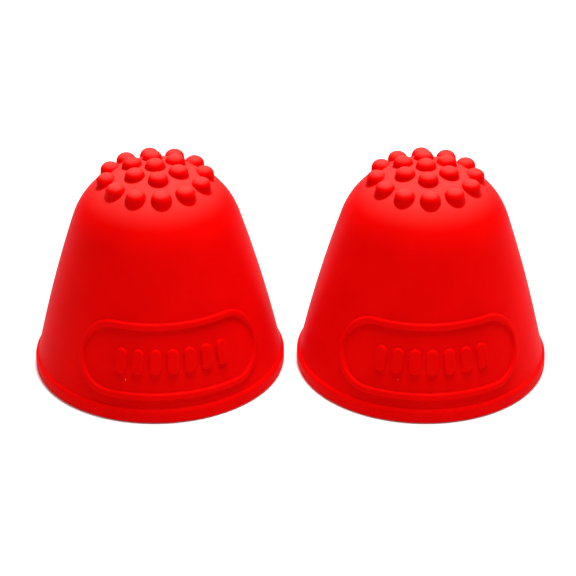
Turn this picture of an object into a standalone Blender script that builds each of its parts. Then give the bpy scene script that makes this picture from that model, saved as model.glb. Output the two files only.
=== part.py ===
"""A pair of bell-shaped silicone massage cups, standing side by side on their rims.

Each cup is one moulding: a hollow bell with a flat-bottomed rim bead, a field of upright domed nubs
on its crown, and a raised grip panel (a stadium-shaped border round a row of ovals) low on its front.
The frame has +Z up, the floor at z = 0 and its origin midway between the two cups.
"""

import math

import bmesh
import bpy
from mathutils import Matrix, Vector

# Driving dimensions, in metres and degrees.
RIM_RADIUS = 0.0350
CROWN_HEIGHT = 0.0603
WALL_THICKNESS = 0.0032
CUP_SPACING = 0.0735

# The outer surface is three tangent arcs. A slope is the tilt of the surface's normal from vertical.
CROWN_ARC_RADIUS = 0.0303
SHOULDER_ARC_RADIUS = 0.0214
WALL_ARC_RADIUS = 0.4040
CROWN_EDGE_SLOPE = 18.0
SHOULDER_END_SLOPE = 71.9

# The bead that stiffens the rim: the height of the crease above it, the radius of its rounded upper part
# and the slope at which that part leaves the wall, and the radius of its lower edge.
BEAD_HEIGHT = 0.0043
BEAD_ROUND = 0.0013
BEAD_TOP_SLOPE = 18.0
BEAD_LOWER_EDGE = 0.0008

# The massage nubs, upright pegs with a domed end: how far the dome's centre stands above the surface,
# how deep the peg goes below it, and each ring's count and the slope of the surface that it stands on.
NUB_RADIUS = 0.00275
NUB_DOME_HEIGHT = 0.0022
NUB_RISE = 0.0002
NUB_DEPTH = 0.0021
NUB_RINGS = ((1, 0.0), (6, 13.0), (12, 29.8))

# The grip panel, measured along the wall's surface. Its middle is on each cup's own front.
PANEL_HEIGHT_ABOVE_FLOOR = 0.0172
PANEL_WIDTH = 0.0530
PANEL_HEIGHT = 0.0190
BORDER_RADIUS = 0.0010
BORDER_SINK = 0.0003
OVAL_COUNT = 7
OVAL_PITCH = 0.0047
OVAL_HALF_SIZE = (0.0016, 0.0010, 0.0033)
OVAL_SINK = 0.0002

# How far each cup is turned about its own axis, counter-clockwise seen from above.
LEFT_CUP_TURN = 9.4
RIGHT_CUP_TURN = 2.5

# Facets of the curved surfaces.
TURN_STEPS = 44
CROWN_STEPS = 3
SHOULDER_STEPS = 6
WALL_STEPS = 4
BEAD_EDGE_STEPS = 3
NUB_SEGMENTS = 10
NUB_BANDS = 3
OVAL_SEGMENTS = 8
OVAL_BANDS = 6
BORDER_END_STEPS = 8
BORDER_SIDE_STEPS = 9
BORDER_BEVEL_STEPS = 1

SILICONE_RED = (0.72, 0.008, 0.008, 1.0)
SILICONE_ROUGHNESS = 0.45
MERGE_DISTANCE = 0.00001
SHARP_EDGE_ANGLE = 50.0


def clear_scene():
    for old in list(bpy.data.objects):
        bpy.data.objects.remove(old, do_unlink=True)


def new_collection(name):
    collection = bpy.data.collections.new(name)
    bpy.context.scene.collection.children.link(collection)
    return collection


def spaced(start, end, steps):
    """Evenly spaced values from start to end, both included."""
    return [start + (end - start) * i / steps for i in range(steps + 1)]


def along_arc(centre, radius, start, end, steps):
    """Points (x, z) on an arc, whose angles are in degrees from straight up towards +X."""
    angles = [math.radians(a) for a in spaced(start, end, steps)]
    return [(centre[0] + radius * math.sin(a), centre[1] + radius * math.cos(a)) for a in angles]


def shifted_centre(centre, slope, distance):
    """The point (x, z) at a distance from centre along the normal of the given slope."""
    angle = math.radians(slope)
    return (centre[0] + distance * math.sin(angle), centre[1] + distance * math.cos(angle))


CROWN_CENTRE = (0.0, CROWN_HEIGHT - CROWN_ARC_RADIUS)
SHOULDER_CENTRE = shifted_centre(
    CROWN_CENTRE, CROWN_EDGE_SLOPE, CROWN_ARC_RADIUS - SHOULDER_ARC_RADIUS
)
WALL_CENTRE = shifted_centre(
    SHOULDER_CENTRE, SHOULDER_END_SLOPE, SHOULDER_ARC_RADIUS - WALL_ARC_RADIUS
)


def bell_point(slope, depth):
    """The point (x, z) of a given slope on the crown or the shoulder, lying depth under the outer surface."""
    if slope <= CROWN_EDGE_SLOPE:
        return shifted_centre(CROWN_CENTRE, slope, CROWN_ARC_RADIUS - depth)
    return shifted_centre(SHOULDER_CENTRE, slope, SHOULDER_ARC_RADIUS - depth)


def wall_slope_at(height, depth):
    """The slope of the wall, in degrees, at a height on the surface that lies depth under the outer one."""
    return math.degrees(math.acos((height - WALL_CENTRE[1]) / (WALL_ARC_RADIUS - depth)))


def bell_curve(depth, foot_height):
    """The bell's curve from the axis down to foot_height, on the surface that lies depth under the outer one."""
    crown = along_arc(CROWN_CENTRE, CROWN_ARC_RADIUS - depth, 0.0, CROWN_EDGE_SLOPE, CROWN_STEPS)
    shoulder = along_arc(
        SHOULDER_CENTRE,
        SHOULDER_ARC_RADIUS - depth,
        CROWN_EDGE_SLOPE,
        SHOULDER_END_SLOPE,
        SHOULDER_STEPS,
    )
    foot_slope = wall_slope_at(foot_height, depth)
    wall = along_arc(
        WALL_CENTRE, WALL_ARC_RADIUS - depth, SHOULDER_END_SLOPE, foot_slope, WALL_STEPS
    )
    return crown + shoulder[1:] + wall[1:]


def bead_curve():
    """The bead's outline from just past the crease above it down to the flat underside of the rim."""
    centre_height = BEAD_HEIGHT - BEAD_ROUND * math.cos(math.radians(BEAD_TOP_SLOPE))
    upper_centre = (RIM_RADIUS - BEAD_ROUND, centre_height)
    lower_centre = (RIM_RADIUS - BEAD_LOWER_EDGE, BEAD_LOWER_EDGE)
    upper = along_arc(upper_centre, BEAD_ROUND, BEAD_TOP_SLOPE, 90.0, BEAD_EDGE_STEPS)
    lower = along_arc(lower_centre, BEAD_LOWER_EDGE, 90.0, 180.0, BEAD_EDGE_STEPS)
    return upper[1:] + lower


def turned(name, profile, steps, collection):
    """A profile of points (x, z), given from the top down its outer side, turned about the Z axis."""
    shape = bmesh.new()
    corners = [shape.verts.new((x, 0.0, z)) for x, z in profile]
    for first, second in zip(corners, corners[1:]):
        shape.edges.new((first, second))
    mesh = bpy.data.meshes.new(name + "_profile")
    shape.to_mesh(mesh)
    shape.free()
    blank = bpy.data.objects.new(name, mesh)
    collection.objects.link(blank)
    turn = blank.modifiers.new("turn", "SCREW")
    turn.axis = "Z"
    turn.steps = steps
    turn.render_steps = steps
    turn.use_merge_vertices = True
    turn.merge_threshold = MERGE_DISTANCE
    turn.use_smooth_shade = True
    return blank


def make_bell(collection):
    """The hollow bell with its rim bead."""
    outer = bell_curve(0.0, BEAD_HEIGHT)
    inner = bell_curve(WALL_THICKNESS, 0.0)
    profile = outer + bead_curve() + list(reversed(inner))
    return turned("bell_blank", profile, TURN_STEPS, collection)


def make_nubs(collection):
    """All the nubs as separate upright pegs, each standing in the crown's surface."""
    quarter = along_arc((0.0, 0.0), 1.0, 0.0, 90.0, NUB_BANDS)
    dome = [(x * NUB_RADIUS, z * NUB_DOME_HEIGHT) for x, z in quarter]
    profile = dome + [(NUB_RADIUS, -NUB_DEPTH), (0.0, -NUB_DEPTH)]
    blank = turned("nub_blank", profile, NUB_SEGMENTS, collection)
    peg = evaluated_mesh(blank, "nub")
    bpy.data.objects.remove(blank, do_unlink=True)
    shape = bmesh.new()
    for count, slope in NUB_RINGS:
        x, z = bell_point(slope, 0.0)
        for index in range(count):
            heading = 2.0 * math.pi * index / count - math.pi / 2.0
            place = Matrix.Rotation(heading, 4, "Z") @ Matrix.Translation((x, 0.0, z + NUB_RISE))
            made = len(shape.verts)
            shape.from_mesh(peg)
            shape.verts.ensure_lookup_table()
            bmesh.ops.transform(shape, matrix=place, verts=shape.verts[made:])
    mesh = bpy.data.meshes.new("nubs")
    shape.to_mesh(mesh)
    shape.free()
    nubs = bpy.data.objects.new("nub_pegs", mesh)
    collection.objects.link(nubs)
    return nubs


def on_wall(across, up, sink):
    """Where a panel point lies on the wall: across and up are measured from the panel's middle."""
    height = PANEL_HEIGHT_ABOVE_FLOOR + up
    slope = math.radians(wall_slope_at(height, sink))
    radius = WALL_CENTRE[0] + (WALL_ARC_RADIUS - sink) * math.sin(slope)
    panel_slope = math.radians(wall_slope_at(PANEL_HEIGHT_ABOVE_FLOOR, 0.0))
    panel_radius = WALL_CENTRE[0] + WALL_ARC_RADIUS * math.sin(panel_slope)
    heading = across / panel_radius - math.pi / 2.0
    return Vector((radius * math.cos(heading), radius * math.sin(heading), height))


def stadium_path():
    """The border's centre line, (across, up), once round: two straight sides and two half circles."""
    end_radius = PANEL_HEIGHT / 2.0
    half_side = PANEL_WIDTH / 2.0 - end_radius
    right_end = along_arc((half_side, 0.0), end_radius, 0.0, 180.0, BORDER_END_STEPS)
    left_end = along_arc((-half_side, 0.0), end_radius, 180.0, 360.0, BORDER_END_STEPS)
    lower_side = [(x, -end_radius) for x in spaced(half_side, -half_side, BORDER_SIDE_STEPS)]
    upper_side = [(x, end_radius) for x in spaced(-half_side, half_side, BORDER_SIDE_STEPS)]
    return right_end[:-1] + lower_side[:-1] + left_end[:-1] + upper_side[:-1]


def make_border(collection):
    """The raised border: a round bar bent along the wall and half sunk in it."""
    path = [on_wall(across, up, BORDER_SINK) for across, up in stadium_path()]
    curve = bpy.data.curves.new("border_line", "CURVE")
    curve.dimensions = "3D"
    curve.bevel_depth = BORDER_RADIUS
    curve.bevel_resolution = BORDER_BEVEL_STEPS
    line = curve.splines.new("POLY")
    line.points.add(len(path) - 1)
    for point, place in zip(line.points, path):
        point.co = (place.x, place.y, place.z, 1.0)
    line.use_cyclic_u = True
    bar = bpy.data.objects.new("border_bar", curve)
    collection.objects.link(bar)
    mesh = evaluated_mesh(bar, "border")
    bpy.data.objects.remove(bar, do_unlink=True)
    border = bpy.data.objects.new("border_ring", mesh)
    collection.objects.link(border)
    return border


def make_ovals(collection):
    """The row of raised ovals inside the border, each lying along the wall."""
    shape = bmesh.new()
    middle_slope = math.radians(wall_slope_at(PANEL_HEIGHT_ABOVE_FLOOR, 0.0))
    lean_back = Matrix.Rotation(math.pi / 2.0 - middle_slope, 4, "Y")
    for index in range(OVAL_COUNT):
        across = (index - (OVAL_COUNT - 1) / 2.0) * OVAL_PITCH
        centre = on_wall(across, 0.0, OVAL_SINK)
        heading = math.atan2(centre.y, centre.x)
        width, depth, height = OVAL_HALF_SIZE
        place = (
            Matrix.Translation(centre)
            @ Matrix.Rotation(heading, 4, "Z")
            @ lean_back.inverted()
            @ Matrix.Diagonal((depth, width, height, 1.0))
        )
        bmesh.ops.create_uvsphere(
            shape,
            u_segments=OVAL_SEGMENTS,
            v_segments=OVAL_BANDS,
            radius=1.0,
            matrix=place,
        )
    mesh = bpy.data.meshes.new("ovals")
    shape.to_mesh(mesh)
    shape.free()
    ovals = bpy.data.objects.new("oval_balls", mesh)
    collection.objects.link(ovals)
    return ovals


def evaluated_mesh(source, name):
    """The mesh of an object with its modifiers applied."""
    bpy.context.view_layer.update()
    graph = bpy.context.evaluated_depsgraph_get()
    mesh = bpy.data.meshes.new_from_object(source.evaluated_get(graph))
    mesh.name = name
    return mesh


def add_union(target, piece):
    """Fuses piece into target with an exact Boolean, and marks piece as a guide."""
    piece.hide_render = True
    piece.display_type = "WIRE"
    union = target.modifiers.new("union_" + piece.name, "BOOLEAN")
    union.operation = "UNION"
    union.solver = "EXACT"
    union.object = piece


def silicone():
    material = bpy.data.materials.new("red_silicone")
    material.use_nodes = True
    shader = material.node_tree.nodes["Principled BSDF"]
    shader.inputs["Base Color"].default_value = SILICONE_RED
    shader.inputs["Roughness"].default_value = SILICONE_ROUGHNESS
    shader.inputs["Metallic"].default_value = 0.0
    return material


def make_cup_mesh(guides):
    """One whole cup as a mesh: the bell with its nubs and its grip panel fused on."""
    bell = make_bell(guides)
    bell.hide_render = True
    bell.display_type = "WIRE"
    add_union(bell, make_nubs(guides))
    add_union(bell, make_border(guides))
    add_union(bell, make_ovals(guides))
    mesh = evaluated_mesh(bell, "cup")
    mesh.materials.clear()
    mesh.materials.append(silicone())
    mesh.shade_smooth()
    mesh.set_sharp_from_angle(angle=math.radians(SHARP_EDGE_ANGLE))
    return mesh


def place_cup(name, mesh, x, turn, collection):
    """One cup of the pair, with its origin on its own axis at the floor."""
    cup = bpy.data.objects.new(name, mesh)
    cup.location = (x, 0.0, 0.0)
    cup.rotation_euler = (0.0, 0.0, math.radians(turn))
    collection.objects.link(cup)
    return cup


def main():
    clear_scene()
    parts = new_collection("massage_cup_pair")
    guides = new_collection("guides")
    mesh = make_cup_mesh(guides)
    place_cup("left_cup", mesh, -CUP_SPACING / 2.0, LEFT_CUP_TURN, parts)
    place_cup("right_cup", mesh, CUP_SPACING / 2.0, RIGHT_CUP_TURN, parts)


main()
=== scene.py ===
"""Looks for the pair of silicone massage cups: fine moulded surfaces, red silicone, floor, light, camera."""

import math

import bpy
import numpy as np
from mathutils import Matrix, Vector


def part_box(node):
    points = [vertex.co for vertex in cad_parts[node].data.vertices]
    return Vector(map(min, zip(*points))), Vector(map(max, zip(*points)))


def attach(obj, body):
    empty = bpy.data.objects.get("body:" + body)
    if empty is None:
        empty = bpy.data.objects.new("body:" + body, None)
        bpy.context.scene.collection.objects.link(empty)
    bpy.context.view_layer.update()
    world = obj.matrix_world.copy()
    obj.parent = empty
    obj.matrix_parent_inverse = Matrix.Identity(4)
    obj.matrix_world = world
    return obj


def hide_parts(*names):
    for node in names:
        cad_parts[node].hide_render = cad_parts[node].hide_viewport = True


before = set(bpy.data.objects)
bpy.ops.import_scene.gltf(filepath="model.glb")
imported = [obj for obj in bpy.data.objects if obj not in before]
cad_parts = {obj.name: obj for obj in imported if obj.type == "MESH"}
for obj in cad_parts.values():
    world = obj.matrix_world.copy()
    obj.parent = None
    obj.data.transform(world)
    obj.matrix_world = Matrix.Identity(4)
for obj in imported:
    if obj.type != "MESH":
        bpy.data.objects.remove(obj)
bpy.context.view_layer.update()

# The bell, as in the CAD: three tangent arcs, with a slope being the tilt of the normal from vertical.
CROWN_HEIGHT = 0.0603
WALL_THICKNESS = 0.0032
CROWN_ARC = 0.0303
SHOULDER_ARC = 0.0214
WALL_ARC = 0.4040
CROWN_EDGE_SLOPE = 18.0
SHOULDER_END_SLOPE = 71.9

# The rim bead: the height of the crease above it, and its rounded upper part and lower edge.
BEAD_HEIGHT = 0.0043
BEAD_ROUND = 0.0013
BEAD_TOP_SLOPE = 18.0
BEAD_LOWER_EDGE = 0.0008
CREASE_RADIUS = 0.00006
INNER_LIP = 0.0004

# The nubs on the crown, upright pegs with a domed end: each ring's count and slope. The dome takes up
# its share of the surface that is pulled over a nub, and the side and the foot's fillet take the rest.
NUB_RADIUS = 0.00275
NUB_DOME_HEIGHT = 0.0022
NUB_RISE = 0.0002
NUB_FOOT = 0.00024
NUB_REACH = NUB_RADIUS + NUB_FOOT
DOME_SHARE = 0.62
NUB_RINGS = ((1, 0.0), (6, 13.0), (12, 29.8))
NUB_ZONE_SLOPE = 42.0
FILLET_PASSES = 3

# The grip panel low on the front wall: a stadium border round a row of ovals.
PANEL_MIDDLE = 0.0172
PANEL_WIDTH = 0.0530
PANEL_HEIGHT = 0.0190
BORDER_WIDTH = 0.00150
RELIEF = 0.00080
RELIEF_EDGE = 0.00034
OVAL_COUNT = 7
OVAL_PITCH = 0.0047
OVAL_WIDTH = 0.0032
OVAL_HEIGHT = 0.0066

# How far each cup is turned about its own axis, as in the CAD, in degrees.
TURNS = {"left_cup": 9.4, "right_cup": 2.5}

# The looks stay this far inside the CAD's rim.
RIM_INSET = 0.00002

# The surface grid: the panel and the nubs need the fine spacing, the rest doesn't.
NUB_SPACING = 0.00014
PANEL_SPACING = 0.00021
PANEL_SPREAD = 56.0
BACK_STEP = 1.1
SMOOTH_SPACING = 0.0007
EDGE_SPACING = 0.00012
INNER_SPACING = 0.0014
TINY = 1e-9

# The silicone: its red, the mottling of the red, and the fine grain of its skin.
DARKER_RED = (0.64, 0.0006, 0.0004, 1.0)
LIGHTER_RED = (0.69, 0.0009, 0.0006, 1.0)
MOTTLE_SCALE = 70.0
MOTTLE_RANGE = (0.35, 0.65)
GLOSS_SCALE = 180.0
ROUGHNESS_RANGE = (0.44, 0.58)
SKIN_SCALE = 5200.0
SKIN_STRENGTH = 0.10
SKIN_DEPTH = 0.0001

# Specks of dust: cells per metre, a speck's radius in cells, and how far up the draw a cell must be.
DUST_SCALE = 260.0
DUST_RADIUS = 0.035
DUST_DRAW = 0.93
DUST_COLOUR = (0.80, 0.20, 0.22, 1.0)

# The painted highlight on the crown and the nub tops: a pale tint that grows as the surface faces upward and
# fades out below the crown, standing in for the light from above.
HIGHLIGHT_FACING = (0.55, 1.0)
HIGHLIGHT_HEIGHTS = (0.036, 0.050)
HIGHLIGHT_SHARE = 0.042
HIGHLIGHT_COLOUR = (0.95, 0.93, 0.80, 1.0)

# The floor, the world and the lights: name, place, the height aimed at, and power in watts.
FLOOR_SIZE = 8.0
FLOOR_TONE = (0.93, 0.93, 0.93, 1.0)
WORLD_STRENGTH = 0.35
LIGHT_SIZE = 0.35
LIGHTS = (
    ("overhead", (0.07, 0.0, 0.80), 0.03, 8.8),
    ("back_left", (-0.40, 0.70, 0.50), 0.05, 2.4),
    ("back_right", (0.60, 0.45, 0.50), 0.05, 2.0),
)

# The camera's stand, in rim radii from the middle of the pair's base, its dip in degrees and its lens.
CAMERA_ASIDE = -0.0197
CAMERA_BACK = 17.459
CAMERA_UP = 10.457
CAMERA_DIP = 29.33
CAMERA_LENS = 157.2
SENSOR_WIDTH = 36.0
CLIP_END = 20.0


def tilted(centre, slope, distance):
    """The point (x, z) at a distance from centre along the normal of the given slope."""
    angle = math.radians(slope)
    return (centre[0] + distance * math.sin(angle), centre[1] + distance * math.cos(angle))


CROWN_CENTRE = (0.0, CROWN_HEIGHT - CROWN_ARC)
SHOULDER_CENTRE = tilted(CROWN_CENTRE, CROWN_EDGE_SLOPE, CROWN_ARC - SHOULDER_ARC)
WALL_CENTRE = tilted(SHOULDER_CENTRE, SHOULDER_END_SLOPE, SHOULDER_ARC - WALL_ARC)


def wall_slope(height, depth=0.0):
    """The wall's slope at a height, on the surface that lies depth under the outer one."""
    return math.degrees(math.acos((height - WALL_CENTRE[1]) / (WALL_ARC - depth)))


def arc_rows(centre, radius, start, end, spacing):
    """Rows (x, z, slope) along an arc from slope start to slope end, without its first point."""
    steps = max(1, math.ceil(abs(math.radians(end - start)) * radius / spacing))
    rows = []
    for i in range(1, steps + 1):
        slope = start + (end - start) * i / steps
        rows.append((*tilted(centre, slope, radius), slope))
    return rows


def line_rows(start, end, slope, spacing):
    """Rows along a straight stretch, without its first point."""
    steps = max(1, math.ceil(math.dist(start, end) / spacing))
    return [
        (
            start[0] + (end[0] - start[0]) * i / steps,
            start[1] + (end[1] - start[1]) * i / steps,
            slope,
        )
        for i in range(1, steps + 1)
    ]


def bell_rows():
    """The cup's outside from just off the crown's top down to the crease above the bead."""
    panel_top = PANEL_MIDDLE + PANEL_HEIGHT / 2.0 + BORDER_WIDTH
    panel_foot = PANEL_MIDDLE - PANEL_HEIGHT / 2.0 - BORDER_WIDTH
    stops = (SHOULDER_END_SLOPE, wall_slope(panel_top), wall_slope(panel_foot), wall_slope(BEAD_HEIGHT))
    rows = arc_rows(CROWN_CENTRE, CROWN_ARC, 0.0, CROWN_EDGE_SLOPE, NUB_SPACING)
    rows += arc_rows(SHOULDER_CENTRE, SHOULDER_ARC, CROWN_EDGE_SLOPE, NUB_ZONE_SLOPE, NUB_SPACING)
    rows += arc_rows(
        SHOULDER_CENTRE, SHOULDER_ARC, NUB_ZONE_SLOPE, SHOULDER_END_SLOPE, SMOOTH_SPACING
    )
    rows += arc_rows(WALL_CENTRE, WALL_ARC, stops[0], stops[1], SMOOTH_SPACING)
    rows += arc_rows(WALL_CENTRE, WALL_ARC, stops[1], stops[2], PANEL_SPACING)
    rows += arc_rows(WALL_CENTRE, WALL_ARC, stops[2], stops[3], SMOOTH_SPACING)
    return rows


def bead_rows(wall_foot, rim_radius):
    """The crease under the wall's foot, then round the bead to its underside."""
    foot_slope = wall_slope(BEAD_HEIGHT)
    crease_centre = tilted(wall_foot, foot_slope, CREASE_RADIUS)
    drop = BEAD_ROUND * math.cos(math.radians(BEAD_TOP_SLOPE))
    upper = (rim_radius - BEAD_ROUND, BEAD_HEIGHT - drop)
    lower = (rim_radius - BEAD_LOWER_EDGE, BEAD_LOWER_EDGE)
    rows = arc_rows(
        crease_centre, -CREASE_RADIUS, foot_slope, BEAD_TOP_SLOPE, CREASE_RADIUS / 2.0
    )
    rows += arc_rows(upper, BEAD_ROUND, BEAD_TOP_SLOPE, 90.0, EDGE_SPACING)
    rows += line_rows(rows[-1][:2], (rim_radius, BEAD_LOWER_EDGE), 90.0, SMOOTH_SPACING)
    rows += arc_rows(lower, BEAD_LOWER_EDGE, 90.0, 180.0, EDGE_SPACING)
    return rows


def inner_rows(underside):
    """The rim's flat underside and the inside, up to just off the top of the hollow."""
    slope = wall_slope(INNER_LIP, WALL_THICKNESS)
    lip_top = tilted(WALL_CENTRE, slope, WALL_ARC - WALL_THICKNESS)
    lip_centre = (lip_top[0] + INNER_LIP, INNER_LIP)
    rows = line_rows(underside, (lip_centre[0], 0.0), 180.0, SMOOTH_SPACING)
    rows += arc_rows(lip_centre, INNER_LIP, 180.0, 270.0, EDGE_SPACING)
    rows += arc_rows(
        WALL_CENTRE, WALL_ARC - WALL_THICKNESS, slope, SHOULDER_END_SLOPE, INNER_SPACING
    )
    rows += arc_rows(
        SHOULDER_CENTRE,
        SHOULDER_ARC - WALL_THICKNESS,
        SHOULDER_END_SLOPE,
        CROWN_EDGE_SLOPE,
        INNER_SPACING,
    )
    rows += arc_rows(
        CROWN_CENTRE, CROWN_ARC - WALL_THICKNESS, CROWN_EDGE_SLOPE, 0.0, INNER_SPACING
    )
    return rows[:-1]


def grid_headings(rim_radius):
    """Headings once round, in radians, close together over the panel and wider apart behind."""
    front_step = math.degrees(PANEL_SPACING / rim_radius)
    front = np.linspace(-PANEL_SPREAD, PANEL_SPREAD, round(2.0 * PANEL_SPREAD / front_step) + 1)
    back_span = 360.0 - 2.0 * PANEL_SPREAD
    back = np.linspace(PANEL_SPREAD, PANEL_SPREAD + back_span, round(back_span / BACK_STEP) + 1)
    return np.radians(np.concatenate([front, back[1:-1]]) - 90.0)


def raised(distance_outside):
    """Relief height where distance_outside is how far a point lies outside a raised shape."""
    share = np.clip(0.5 - distance_outside / RELIEF_EDGE, 0.0, 1.0)
    return RELIEF * share * share * (3.0 - 2.0 * share)


def stadium_distance(across, up, width, height):
    """Signed distance to an upright or lying stadium's outline, negative inside."""
    radius = min(width, height) / 2.0
    past_x = np.maximum(np.abs(across) - (width / 2.0 - radius), 0.0)
    past_z = np.maximum(np.abs(up) - (height / 2.0 - radius), 0.0)
    return np.hypot(past_x, past_z) - radius


def panel_relief(across, up):
    """Height of the grip panel over the plain wall."""
    outline = stadium_distance(across, up, PANEL_WIDTH, PANEL_HEIGHT)
    relief = raised(np.abs(outline) - BORDER_WIDTH / 2.0)
    for index in range(OVAL_COUNT):
        middle = (index - (OVAL_COUNT - 1) / 2.0) * OVAL_PITCH
        oval = stadium_distance(across - middle, up, OVAL_WIDTH, OVAL_HEIGHT)
        relief = np.maximum(relief, raised(oval))
    return relief


def raise_panel(points, height, slope, headings):
    """Moves the wall's points out along their normals by the panel's relief."""
    panel_radius = tilted(WALL_CENTRE, wall_slope(PANEL_MIDDLE), WALL_ARC)[0]
    across = (headings + math.pi / 2.0) * panel_radius
    across = np.where(headings > math.pi / 2.0, across - 2.0 * math.pi * panel_radius, across)
    relief = panel_relief(across[None, :], height - PANEL_MIDDLE)
    tilt = np.radians(slope)
    normal = np.stack(
        [
            np.sin(tilt) * np.cos(headings),
            np.sin(tilt) * np.sin(headings),
            np.cos(tilt) + 0.0 * headings,
        ],
        axis=-1,
    )
    return points + relief[..., None] * normal


def nub_places():
    """Where each nub's axis meets the bare surface."""
    places = []
    for count, slope in NUB_RINGS:
        on_crown = slope <= CROWN_EDGE_SLOPE
        centre = CROWN_CENTRE if on_crown else SHOULDER_CENTRE
        x, z = tilted(centre, slope, CROWN_ARC if on_crown else SHOULDER_ARC)
        for index in range(count):
            heading = 2.0 * math.pi * index / count - math.pi / 2.0
            places.append((x * math.cos(heading), x * math.sin(heading), z))
    return places


def raise_nubs(points):
    """Pulls the crown's points up over each nub: over its dome, down its side and out along its foot."""
    bare_radius = np.hypot(points[:, 0, 0], points[:, 0, 1])
    bare_height = points[:, 0, 2].copy()
    for x, y, z in nub_places():
        dome_centre = z + NUB_RISE
        offset = points[..., :2] - (x, y)
        distance = np.linalg.norm(offset, axis=-1)
        near = distance < NUB_REACH
        share = distance[near] / NUB_REACH
        direction = offset[near] / np.maximum(distance[near], TINY)[:, None]
        dome_angle = np.clip(share / DOME_SHARE, 0.0, 1.0) * math.pi / 2.0
        side_angle = np.clip((share - DOME_SHARE) / (1.0 - DOME_SHARE), 0.0, 1.0) * math.pi / 2.0
        on_dome = share <= DOME_SHARE
        out = np.where(
            on_dome, NUB_RADIUS * np.sin(dome_angle), NUB_REACH - NUB_FOOT * np.cos(side_angle)
        )
        place = direction * out[:, None] + (x, y)
        bare = np.interp(np.linalg.norm(place, axis=-1), bare_radius, bare_height)
        side = dome_centre - (dome_centre - bare) * np.sin(side_angle)
        height = np.where(on_dome, dome_centre + NUB_DOME_HEIGHT * np.cos(dome_angle), side)
        points[near] = np.column_stack([place, np.maximum(height, bare)])
    return points


def rounded(points):
    """The same grid of points with its creases softened; its first and last rows stay."""
    for _ in range(FILLET_PASSES):
        sides = np.roll(points, 1, axis=1) + np.roll(points, -1, axis=1)
        around = sides[1:-1] + points[:-2] + points[2:]
        points[1:-1] = points[1:-1] / 2.0 + around / 8.0
    return points


def grid_faces(row_count, count):
    """Faces between the rows of a grid that closes on itself, and fans to a point past each end."""
    total = row_count * count
    last = total - count
    ring = np.arange(count)
    following = (ring + 1) % count
    starts = np.arange(row_count - 1)[:, None] * count
    quads = np.stack(
        [starts + ring, starts + count + ring, starts + count + following, starts + following],
        axis=-1,
    )
    faces = quads.reshape(-1, 4).tolist()
    faces += [[total, int(a), int(b)] for a, b in zip(ring, following)]
    faces += [[total + 1, last + int(b), last + int(a)] for a, b in zip(ring, following)]
    return faces


def cup_mesh(rim_radius):
    """The whole cup as one closed surface."""
    outer = bell_rows()
    outer += bead_rows(outer[-1][:2], rim_radius)
    rows = outer + inner_rows(outer[-1][:2])
    headings = grid_headings(rim_radius)
    radius, height, slope = (np.array(values)[:, None] for values in zip(*rows))
    points = np.stack(
        [radius * np.cos(headings), radius * np.sin(headings), height + 0.0 * headings], axis=-1
    )
    outside = np.arange(len(rows)) < len(outer)
    on_wall = outside & (height[:, 0] > BEAD_HEIGHT + PANEL_SPACING)
    on_wall &= slope[:, 0] > SHOULDER_END_SLOPE
    points[on_wall] = raise_panel(points[on_wall], height[on_wall], slope[on_wall], headings)
    on_crown = outside & (slope[:, 0] <= NUB_ZONE_SLOPE) & (height[:, 0] > CROWN_HEIGHT / 2.0)
    points[on_crown] = rounded(raise_nubs(points[on_crown]))
    top = [0.0, 0.0, CROWN_HEIGHT + NUB_RISE + NUB_DOME_HEIGHT]
    hollow_top = [0.0, 0.0, CROWN_HEIGHT - WALL_THICKNESS]
    corners = np.concatenate([points.reshape(-1, 3), [top, hollow_top]])
    mesh = bpy.data.meshes.new("cup")
    mesh.from_pydata(corners.tolist(), [], grid_faces(len(rows), len(headings)))
    mesh.validate()
    mesh.shade_smooth()
    return mesh


def add_node(tree, kind, **settings):
    """A new shader node with its input sockets and properties set."""
    node = tree.nodes.new(kind)
    for key, value in settings.items():
        if key in node.inputs:
            node.inputs[key].default_value = value
        else:
            setattr(node, key, value)
    return node


def combined(tree, operation, first, second):
    """A maths node's result, from an output and either another output or a number."""
    node = add_node(tree, "ShaderNodeMath", operation=operation)
    tree.links.new(first, node.inputs[0])
    if isinstance(second, float):
        node.inputs[1].default_value = second
    else:
        tree.links.new(second, node.inputs[1])
    return node.outputs[0]


def painted(tree, factor, base, colour):
    """The base colour's output with a constant colour mixed over it by a factor."""
    node = add_node(tree, "ShaderNodeMix", data_type="RGBA")
    tree.links.new(factor, node.inputs["Factor"])
    tree.links.new(base, node.inputs[6])
    node.inputs[7].default_value = colour
    return node.outputs[2]


def faded(tree, value, limits, most):
    """A smooth rise from 0 to most while a value goes from one limit to the other."""
    node = add_node(tree, "ShaderNodeMapRange", interpolation_type="SMOOTHSTEP")
    node.inputs["From Min"].default_value = limits[0]
    node.inputs["From Max"].default_value = limits[1]
    node.inputs["To Max"].default_value = most
    tree.links.new(value, node.inputs["Value"])
    return node.outputs["Result"]


def mottled_red(tree, where):
    """Two close reds in soft patches."""
    mottle = add_node(tree, "ShaderNodeTexNoise", Scale=MOTTLE_SCALE, Detail=3.0, Roughness=0.5)
    tree.links.new(where.outputs["Object"], mottle.inputs["Vector"])
    reds = add_node(tree, "ShaderNodeValToRGB")
    for element, position, red in zip(reds.color_ramp.elements, MOTTLE_RANGE, (DARKER_RED, LIGHTER_RED)):
        element.position = position
        element.color = red
    tree.links.new(mottle.outputs["Fac"], reds.inputs["Fac"])
    return reds.outputs["Color"]


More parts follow.
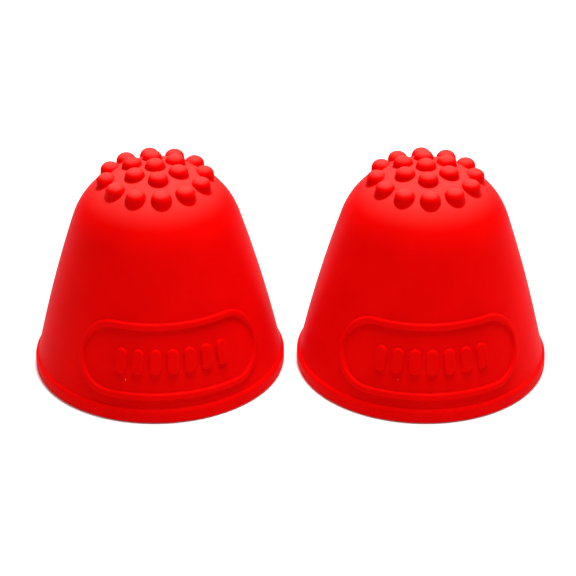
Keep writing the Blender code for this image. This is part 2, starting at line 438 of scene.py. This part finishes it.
def dust_specks(tree, where):
    """1 inside a few tiny specks and 0 elsewhere."""
    specks = add_node(tree, "ShaderNodeTexVoronoi", Scale=DUST_SCALE)
    tree.links.new(where.outputs["Object"], specks.inputs["Vector"])
    small = combined(tree, "LESS_THAN", specks.outputs["Distance"], DUST_RADIUS)
    draw = add_node(tree, "ShaderNodeSeparateColor")
    tree.links.new(specks.outputs["Color"], draw.inputs["Color"])
    rare = combined(tree, "GREATER_THAN", draw.outputs["Red"], DUST_DRAW)
    return combined(tree, "MULTIPLY", small, rare)


def crown_painted_highlight(tree, where):
    """How much painted highlight lies on the surface: more where it faces upward, none below the crown."""
    facing = add_node(tree, "ShaderNodeSeparateXYZ")
    tree.links.new(where.outputs["Normal"], facing.inputs["Vector"])
    place = add_node(tree, "ShaderNodeSeparateXYZ")
    tree.links.new(where.outputs["Object"], place.inputs["Vector"])
    upward = faded(tree, facing.outputs["Z"], HIGHLIGHT_FACING, HIGHLIGHT_SHARE)
    high = faded(tree, place.outputs["Z"], HIGHLIGHT_HEIGHTS, 1.0)
    return combined(tree, "MULTIPLY", upward, high)


def uneven_roughness(tree, where):
    haze = add_node(tree, "ShaderNodeTexNoise", Scale=GLOSS_SCALE, Detail=4.0, Roughness=0.6)
    tree.links.new(where.outputs["Object"], haze.inputs["Vector"])
    gloss = add_node(tree, "ShaderNodeMapRange")
    gloss.inputs["To Min"].default_value = ROUGHNESS_RANGE[0]
    gloss.inputs["To Max"].default_value = ROUGHNESS_RANGE[1]
    tree.links.new(haze.outputs["Fac"], gloss.inputs["Value"])
    return gloss.outputs["Result"]


def grained_skin(tree, where):
    """Normals with the fine grain of the mould's surface."""
    grain = add_node(tree, "ShaderNodeTexNoise", Scale=SKIN_SCALE, Detail=2.0, Roughness=0.6)
    tree.links.new(where.outputs["Object"], grain.inputs["Vector"])
    bump = add_node(tree, "ShaderNodeBump", Strength=SKIN_STRENGTH, Distance=SKIN_DEPTH)
    tree.links.new(grain.outputs["Fac"], bump.inputs["Height"])
    return bump.outputs["Normal"]


def red_silicone():
    """Satin silicone: saturated red, fine matte skin, a painted highlight on the crown and a few specks of
    dust.
    """
    material = bpy.data.materials.new("red_silicone")
    material.use_nodes = True
    tree = material.node_tree
    shader = tree.nodes["Principled BSDF"]
    where = add_node(tree, "ShaderNodeTexCoord")
    dusty = painted(tree, dust_specks(tree, where), mottled_red(tree, where), DUST_COLOUR)
    # A pale tint is painted on the upward-facing crown and nub tops: a painted highlight standing in for the
    # light from above.
    highlighted = painted(tree, crown_painted_highlight(tree, where), dusty, HIGHLIGHT_COLOUR)
    tree.links.new(highlighted, shader.inputs["Base Color"])
    tree.links.new(uneven_roughness(tree, where), shader.inputs["Roughness"])
    tree.links.new(grained_skin(tree, where), shader.inputs["Normal"])
    shader.inputs["IOR"].default_value = 1.41
    shader.inputs["Specular IOR Level"].default_value = 0.01
    shader.inputs["Sheen Weight"].default_value = 0.05
    shader.inputs["Sheen Roughness"].default_value = 0.30
    shader.inputs["Sheen Tint"].default_value = (1.0, 0.12, 0.32, 1.0)
    shader.inputs["Subsurface Weight"].default_value = 0.08
    shader.inputs["Subsurface Radius"].default_value = (1.0, 0.15, 0.1)
    shader.inputs["Subsurface Scale"].default_value = 0.0015
    return material


def make_cups():
    """One visible cup for each CAD cup, all from one mesh."""
    low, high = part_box("left_cup")
    one_cup = cup_mesh((high.y - low.y) / 2.0 - RIM_INSET)
    one_cup.materials.append(red_silicone())
    for node, turn in TURNS.items():
        low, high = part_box(node)
        mesh = one_cup.copy()
        mesh.transform(Matrix.Rotation(math.radians(turn), 4, "Z"))
        cup = bpy.data.objects.new(node + "_moulding", mesh)
        cup.location = ((low.x + high.x) / 2.0, (low.y + high.y) / 2.0, 0.0)
        bpy.context.scene.collection.objects.link(cup)
        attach(cup, node)
        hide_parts(node)


def make_floor():
    """A wide, plain pale floor."""
    bpy.ops.mesh.primitive_plane_add(size=FLOOR_SIZE)
    floor = bpy.context.object
    floor.name = "floor"
    material = bpy.data.materials.new("pale_floor")
    material.use_nodes = True
    shader = material.node_tree.nodes["Principled BSDF"]
    shader.inputs["Base Color"].default_value = FLOOR_TONE
    shader.inputs["Roughness"].default_value = 0.9
    shader.inputs["Specular IOR Level"].default_value = 0.1
    floor.data.materials.append(material)


def area_light(name, place, aim_height, power):
    """A round soft light, aimed at a height over the middle of the pair."""
    data = bpy.data.lights.new(name, "AREA")
    data.shape = "DISK"
    data.size = LIGHT_SIZE
    data.energy = power
    light = bpy.data.objects.new(name, data)
    light.location = place
    light.rotation_mode = "QUATERNION"
    aim = Vector((0.0, 0.0, aim_height)) - Vector(place)
    light.rotation_quaternion = aim.to_track_quat("-Z", "Y")
    bpy.context.scene.collection.objects.link(light)


def make_light():
    """Soft studio light: a bright world, a soft light overhead and two weaker ones behind."""
    world = bpy.data.worlds.new("studio")
    world.use_nodes = True
    background = world.node_tree.nodes["Background"]
    background.inputs["Color"].default_value = (1.0, 1.0, 1.0, 1.0)
    background.inputs["Strength"].default_value = WORLD_STRENGTH
    bpy.context.scene.world = world
    for light in LIGHTS:
        area_light(*light)


def make_camera():
    low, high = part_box("left_cup")
    rim_radius = (high.y - low.y) / 2.0
    data = bpy.data.cameras.new("camera")
    data.lens = CAMERA_LENS
    data.sensor_width = SENSOR_WIDTH
    data.clip_end = CLIP_END
    camera = bpy.data.objects.new("camera", data)
    camera.location = Vector((CAMERA_ASIDE, -CAMERA_BACK, CAMERA_UP)) * rim_radius
    camera.rotation_euler = (math.radians(90.0 - CAMERA_DIP), 0.0, 0.0)
    bpy.context.scene.collection.objects.link(camera)
    bpy.context.scene.camera = camera


make_camera()
make_cups()
make_floor()
make_light()
bpy.context.scene.view_settings.view_transform = "Standard"

bpy.context.view_layer.update()
